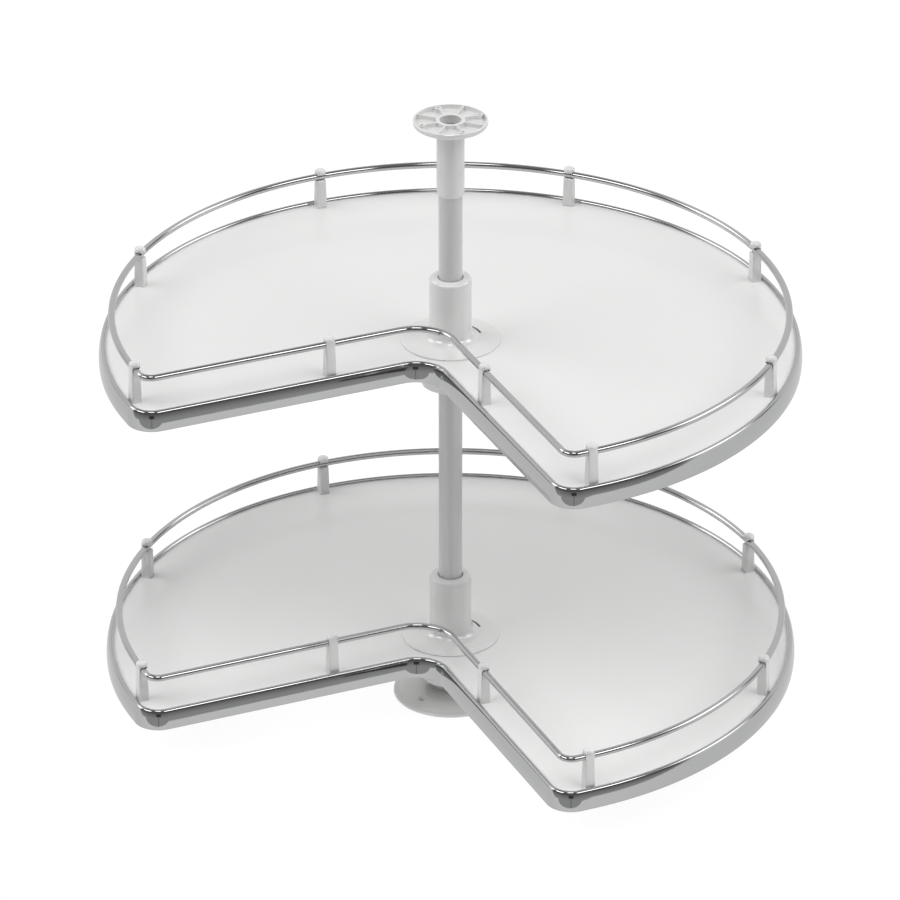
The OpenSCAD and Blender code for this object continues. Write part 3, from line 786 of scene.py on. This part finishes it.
class CAROUSEL_OT_edge_bands(PieceOperator):
    """Make the chrome edge bands with their crowns"""

    bl_idname = "carousel.edge_bands"
    bl_label = "Edge bands"

    def execute(self, context):
        size, look = context.scene.carousel_shelf, finishes()["chrome"]
        for s in SHELVES:
            form = carried(band_section(size), size, top_of(f"{s}_board"))
            piece(f"{s}_band", [form], BODY[s], look, [f"{s}_edge_band"], sharp=50.0)
        return {"FINISHED"}


class CAROUSEL_OT_rails(PieceOperator):
    """Make the chrome gallery rails"""

    bl_idname = "carousel.rails"
    bl_label = "Gallery rails"

    def execute(self, context):
        size, look, sides = context.scene.carousel_shelf, finishes()["chrome"], 32
        centre = (-1000 * size.rail_inset, 1000 * size.rail_rise)
        ring = arc(centre, 500 * size.rail, 0, 360 - 360 / sides, sides)
        for s in SHELVES:
            form = carried(ring, size, top_of(f"{s}_board"))
            piece(f"{s}_gallery_rail", [form], BODY[s], look, [f"{s}_rail"])
        return {"FINISHED"}


class CAROUSEL_OT_posts(PieceOperator):
    """Make the clip posts that carry the rails"""

    bl_idname = "carousel.posts"
    bl_label = "Posts"

    def execute(self, context):
        size, look = context.scene.carousel_shelf, finishes()["clip"]
        forms = [post_form(size), cap_form(size)]
        for s in SHELVES:
            lift = top_of(f"{s}_board")
            for k, (spin, x, y) in enumerate(post_places(size), 1):
                here = [placed(f, spin, (x, y, lift)) for f in forms]
                node = f"{s}_post_{k}"
                piece(f"{s}_clip_post_{k}", here, BODY[s], look, [node])
        return {"FINISHED"}


class CAROUSEL_OT_hubs(PieceOperator):
    """Make the hubs, and dress the housings under the boards"""

    bl_idname = "carousel.hubs"
    bl_label = "Hubs"

    def execute(self, context):
        size = context.scene.carousel_hub
        for s in SHELVES:
            form = placed(hub_form(size), 0, (0, 0, top_of(f"{s}_board")))
            piece(f"{s}_hub_shell", [form], BODY[s], hub_moulding_with_slot_shade(), [f"{s}_hub"])
        dress([f"{s}_bearing_housing" for s in SHELVES], "moulding")
        dress([f"{s}_{b}_bush" for s in SHELVES for b in ("top", "foot")], "bush")
        return {"FINISHED"}


class CAROUSEL_OT_pole(PieceOperator):
    """Make the pole, and dress its plugs"""

    bl_idname = "carousel.pole"
    bl_label = "Pole"

    def execute(self, context):
        size = context.scene.carousel_hub
        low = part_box("pole")[0].z * 1000
        form = pole_form(low, top_of("pole"), span_of("pole"), 1000 * size.pole_wall)
        piece("pole_tube", [form], "root", finishes()["powder"], ["pole"])
        dress(["foot_plug", "pole_end_plug"], "bush")
        return {"FINISHED"}


class CAROUSEL_OT_flanges(PieceOperator):
    """Dress the floor flange and the ceiling flange"""

    bl_idname = "carousel.flanges"
    bl_label = "Flanges"

    def execute(self, context):
        dress(["floor_flange"], "floor")
        dress(["ceiling_flange"], "moulding")
        return {"FINISHED"}


class CAROUSEL_OT_small_parts(PieceOperator):
    """Dress the screws, collars, races and balls"""

    bl_idname = "carousel.small_parts"
    bl_label = "Small parts"

    def execute(self, context):
        plated = ("housing_screws", "post_screws", "support_collar")
        bearing = ("turning_race", "fixed_race", "balls")
        dress(["foot_screw", "sleeve_lock_screw"], "zinc")
        dress([f"{s}_{n}" for s in SHELVES for n in plated], "zinc")
        dress([f"{s}_{n}" for s in SHELVES for n in bearing], "ground")
        dress([f"{s}_grub_screw" for s in SHELVES], "black")
        dress([f"{s}_ball_cage" for s in SHELVES], "cage")
        return {"FINISHED"}


# ---------------------------------------------------------------- stage


def grey(value):
    """A grey as the colour of a node's input."""
    return (value, value, value, 1.0)


def lamps(stage, turn, height):
    """Mask and brightness of the lamps. Five are lit: one at turn 0, its two neighbours, and
    the outer two, which are lower and dimmer. All angles are in degrees."""
    step, half = math.degrees(stage.lamp_step), math.degrees(stage.lamp_width) / 2
    off = turn.maths("ABSOLUTE")

    def for_lamp(middle, neighbour, outer):
        """A value for the lamp in the middle, for its neighbours and for the outer two."""
        change = off.eased(76.0, 90.0, 0.0, outer - neighbour)
        return off.eased(22.0, 34.0, middle, neighbour) + change

    # 100 whole steps keep the turn positive, and half a step brings each lamp's middle to 0
    across = ((turn / step + 100.5).maths("FRACT") - 0.5).maths("ABSOLUTE") * step
    mask = across.eased(half - 2.0, half + 2.0, 1.0, 0.0) * off.eased(120.0, 124.0, 1.0, 0.0)
    foot, top = for_lamp(57.0, 32.0, 23.0), for_lamp(74.0, 50.0, 45.0)
    return mask * height.within(foot, top, 5.0), for_lamp(1.0, 1.0, 0.65) * stage.lamp_power


def room(turn, height):
    """Brightness of the walls, the ceiling and the floor. On the camera's side the wall is dark,
    and so is the floor, apart from a light part close by, whose far edge is lowest in the
    middle. Behind the object both are light, but for a darker upright strip on each side."""
    off = turn.maths("ABSOLUTE")
    strip = off.eased(114.0, 119.0) * off.eased(127.0, 134.0, 1.0, 0.0)
    strip = strip * (height - turn.eased(-1.0, 1.0, 9.0, 32.0)).eased(-3.0, 3.0, 0.55, 0.0)
    wall = off.eased(80.0, 90.0, 0.12, 0.86) - off.eased(112.0, 128.0, 0.0, 0.10) - strip
    ceiling = 0.22
    wall = wall.towards(ceiling, height.eased(44.0, 60.0))

    belly = (off / 50.0).maths("POWER", 2.0).cut().maths("MAXIMUM", 0.0).maths("SQRT")
    edge = off.eased(62.0, 100.0, -12.0, 2.0) - belly * 22.0
    behind = off.eased(112.0, 126.0, 0.82, 0.72) - strip
    far = height.eased(-14.0, 5.0, 0.38, 0.19).towards(behind, off.eased(78.0, 90.0))
    near = off.eased(20.0, 120.0, 0.86, 0.76)
    floor = near.towards(far, (height - edge).eased(-0.8, 0.8))
    return floor.towards(wall, height.eased(2.0, 7.0))


def stand(bearing, height):
    """Mask of the camera's stand, which the chrome mirrors: a block with a thin leg below it."""
    aim = bearing.maths("ABSOLUTE")
    block = aim.eased(9.5, 11.5, 1.0, 0.0) * height.within(-6.5, 3.5, 1.5)
    leg = aim.eased(1.2, 2.2, 0.6, 0.0) * height.within(-35.0, -2.0, 2.0)
    return block.maths("MAXIMUM", leg)


def soft_light(turn, height):
    """Brightness of the light that matt surfaces take: from 44 degrees up in front, from 20
    degrees up and strongest below 58 at the sides, weaker overhead, and low down behind."""
    off = turn.maths("ABSOLUTE")
    front, rear = off.eased(36.0, 54.0, 1.0, 0.0), off.eased(106.0, 124.0)
    high, strongest = 1.75, 2.8
    above = front.cut() - rear
    above = above * height.eased(20.0, 34.0) * height.eased(48.0, 58.0, strongest, high)
    above = above + front * height.eased(44.0, 56.0) * high
    above = above * height.eased(64.0, 74.0, 1.0, 0.6)
    return above + rear * height.eased(-2.0, 4.0) * height.eased(28.0, 36.0, 1.0, 0.15)


def studio_world(stage):
    """The studio round the object, as a brightness for each direction, given by its bearing
    from the camera's side and its height, in degrees. Glossy rays see the room with its lamps
    and the camera's stand, other rays see the soft light, and camera rays see plain white."""
    world = bpy.data.worlds.new("Studio")
    bpy.context.scene.world = world
    world.use_nodes = True
    tree = world.node_tree
    tree.nodes.clear()
    way = add(tree, "ShaderNodeTexCoord").outputs["Generated"]
    apart = add(tree, "ShaderNodeSeparateXYZ", {0: way})
    x, y, z = (Number(tree, apart.outputs[k]) for k in range(3))
    a, degrees = stage.azimuth, 180 / math.pi
    ahead = x * math.sin(a) - y * math.cos(a)
    aside = x * math.cos(a) + y * math.sin(a)
    bearing = aside.maths("ARCTAN2", ahead) * degrees
    height = z.maths("ARCSINE") * degrees
    turn = bearing + math.degrees(stage.lamp_turn)

    lamp, power = lamps(stage, turn, height)
    mirrored = room(turn, height).towards(power, lamp) * stand(bearing, height).cut(0.8)
    light = soft_light(turn, height) * stage.dome
    ray = add(tree, "ShaderNodeLightPath").outputs
    lit = {"Factor": ray["Is Glossy Ray"], "A": light, "B": mirrored}
    lit = add(tree, "ShaderNodeMix", lit).outputs["Result"]
    seen = add(tree, "ShaderNodeMix", {"Factor": ray["Is Camera Ray"], "A": lit, "B": 1.0})
    shown = {"Color": grey(1.0), "Strength": seen.outputs["Result"]}
    back = add(tree, "ShaderNodeBackground", shown)
    add(tree, "ShaderNodeOutputWorld", {"Surface": back.outputs[0]})


def floor_material():
    """White floor: it takes the light and the shadows, glows softly round the floor flange, where
    the light from the sides comes in, and is dark inside the flange. Camera rays see it lifted to
    white, and see through its underside, so that a view from below shows the object."""
    made = bpy.data.materials.new("Studio floor")
    made.use_nodes = True
    tree = made.node_tree
    tree.nodes.clear()
    at = add(tree, "ShaderNodeTexCoord").outputs["Object"]
    away = add(tree, "ShaderNodeVectorMath", {0: at}, operation="LENGTH").outputs["Value"]
    away = Number(tree, away)
    rim = span_of("floor_flange") / 1000
    bare = away.eased(rim - 0.004, rim - 0.001)

    def matt_and_glow(tone, strength):
        """A matt grey that also gives light."""
        matt = add(tree, "ShaderNodeBsdfDiffuse", {"Color": grey(tone)})
        glow = add(tree, "ShaderNodeEmission", {"Color": grey(1.0), "Strength": strength})
        return add(tree, "ShaderNodeAddShader", {0: matt.outputs[0], 1: glow.outputs[0]}).outputs[0]

    lit = matt_and_glow(0.80, away.eased(0.15, 0.38, 0.50, 0.03) * bare)
    shown = matt_and_glow(0.16, bare * 0.90)
    below = add(tree, "ShaderNodeNewGeometry").outputs["Backfacing"]
    clear = add(tree, "ShaderNodeBsdfTransparent").outputs[0]
    seen = add(tree, "ShaderNodeMixShader", {0: below, 1: shown, 2: clear}).outputs[0]
    camera = add(tree, "ShaderNodeLightPath").outputs["Is Camera Ray"]
    mix = add(tree, "ShaderNodeMixShader", {0: camera, 1: lit, 2: seen}).outputs[0]
    add(tree, "ShaderNodeOutputMaterial", {"Surface": mix})
    return made


class CAROUSEL_OT_stage(PieceOperator):
    """Make the floor, the studio and the camera"""

    bl_idname = "carousel.stage"
    bl_label = "Stage"

    def execute(self, context):
        stage = context.scene.carousel_stage
        context.scene.view_settings.view_transform = "Standard"
        studio_world(stage)

        reach = np.linspace(-stage.floor_reach, stage.floor_reach, 3)
        flat = np.meshgrid(reach, reach, [-stage.floor_gap], indexing="ij")
        points, faces = sheet_of(np.stack(flat, axis=-1)[:, :, 0], False, False)
        mesh = bpy.data.meshes.new("studio_floor")
        mesh.from_pydata(points.tolist(), [], faces[0].tolist())
        mesh.materials.append(floor_material())
        floor = bpy.data.objects.new("studio_floor", mesh)
        context.scene.collection.objects.link(floor)
        floor.visible_glossy = False

        a, e = stage.azimuth, stage.elevation
        back = Vector((math.sin(a) * math.cos(e), -math.cos(a) * math.cos(e), math.sin(e)))
        side = Vector((math.cos(a), math.sin(a), 0.0))
        data = bpy.data.cameras.new("Camera")
        data.sensor_width = 36.0
        data.lens = stage.lens
        data.clip_start, data.clip_end = 0.1, 100.0
        camera = bpy.data.objects.new("Camera", data)
        context.scene.collection.objects.link(camera)
        target = Vector((0, 0, stage.target)) - side * stage.aside
        camera.location = target + back * stage.distance
        camera.rotation_mode = "QUATERNION"
        camera.rotation_quaternion = (-back).to_track_quat("-Z", "Y")
        context.scene.camera = camera
        return {"FINISHED"}


PIECES = (
    CAROUSEL_OT_stage,
    CAROUSEL_OT_boards,
    CAROUSEL_OT_edge_bands,
    CAROUSEL_OT_rails,
    CAROUSEL_OT_posts,
    CAROUSEL_OT_hubs,
    CAROUSEL_OT_pole,
    CAROUSEL_OT_flanges,
    CAROUSEL_OT_small_parts,
)
GROUPS = {
    "carousel_shelf": CarouselShelf,
    "carousel_hub": CarouselHub,
    "carousel_finish": CarouselFinish,
    "carousel_stage": CarouselStage,
}


class CAROUSEL_PT_panel(bpy.types.Panel):
    """Lists the carousel's pieces and sizes"""

    bl_label = "Carousel"
    bl_idname = "CAROUSEL_PT_panel"
    bl_space_type = "VIEW_3D"
    bl_region_type = "UI"
    bl_category = "Carousel"

    def draw(self, context):
        for kind in PIECES:
            self.layout.operator(kind.bl_idname)
        for key, kind in GROUPS.items():
            box = self.layout.box()
            box.label(text=kind.__doc__)
            for name in kind.__annotations__:
                box.prop(getattr(context.scene, key), name)


def register():
    """Registers the classes and gives the scene its property groups."""
    for kind in (*GROUPS.values(), *PIECES, CAROUSEL_PT_panel):
        bpy.utils.register_class(kind)
    for key, kind in GROUPS.items():
        setattr(bpy.types.Scene, key, bpy.props.PointerProperty(type=kind))


def unregister():
    """Takes the property groups and the classes away."""
    for key in GROUPS:
        delattr(bpy.types.Scene, key)
    for kind in reversed((*GROUPS.values(), *PIECES, CAROUSEL_PT_panel)):
        bpy.utils.unregister_class(kind)


def main():
    """Makes the whole look in order."""
    register()
    for kind in PIECES:
        group_name, call = kind.bl_idname.split(".")
        getattr(getattr(bpy.ops, group_name), call)()


if __name__ == "__main__":
    main()
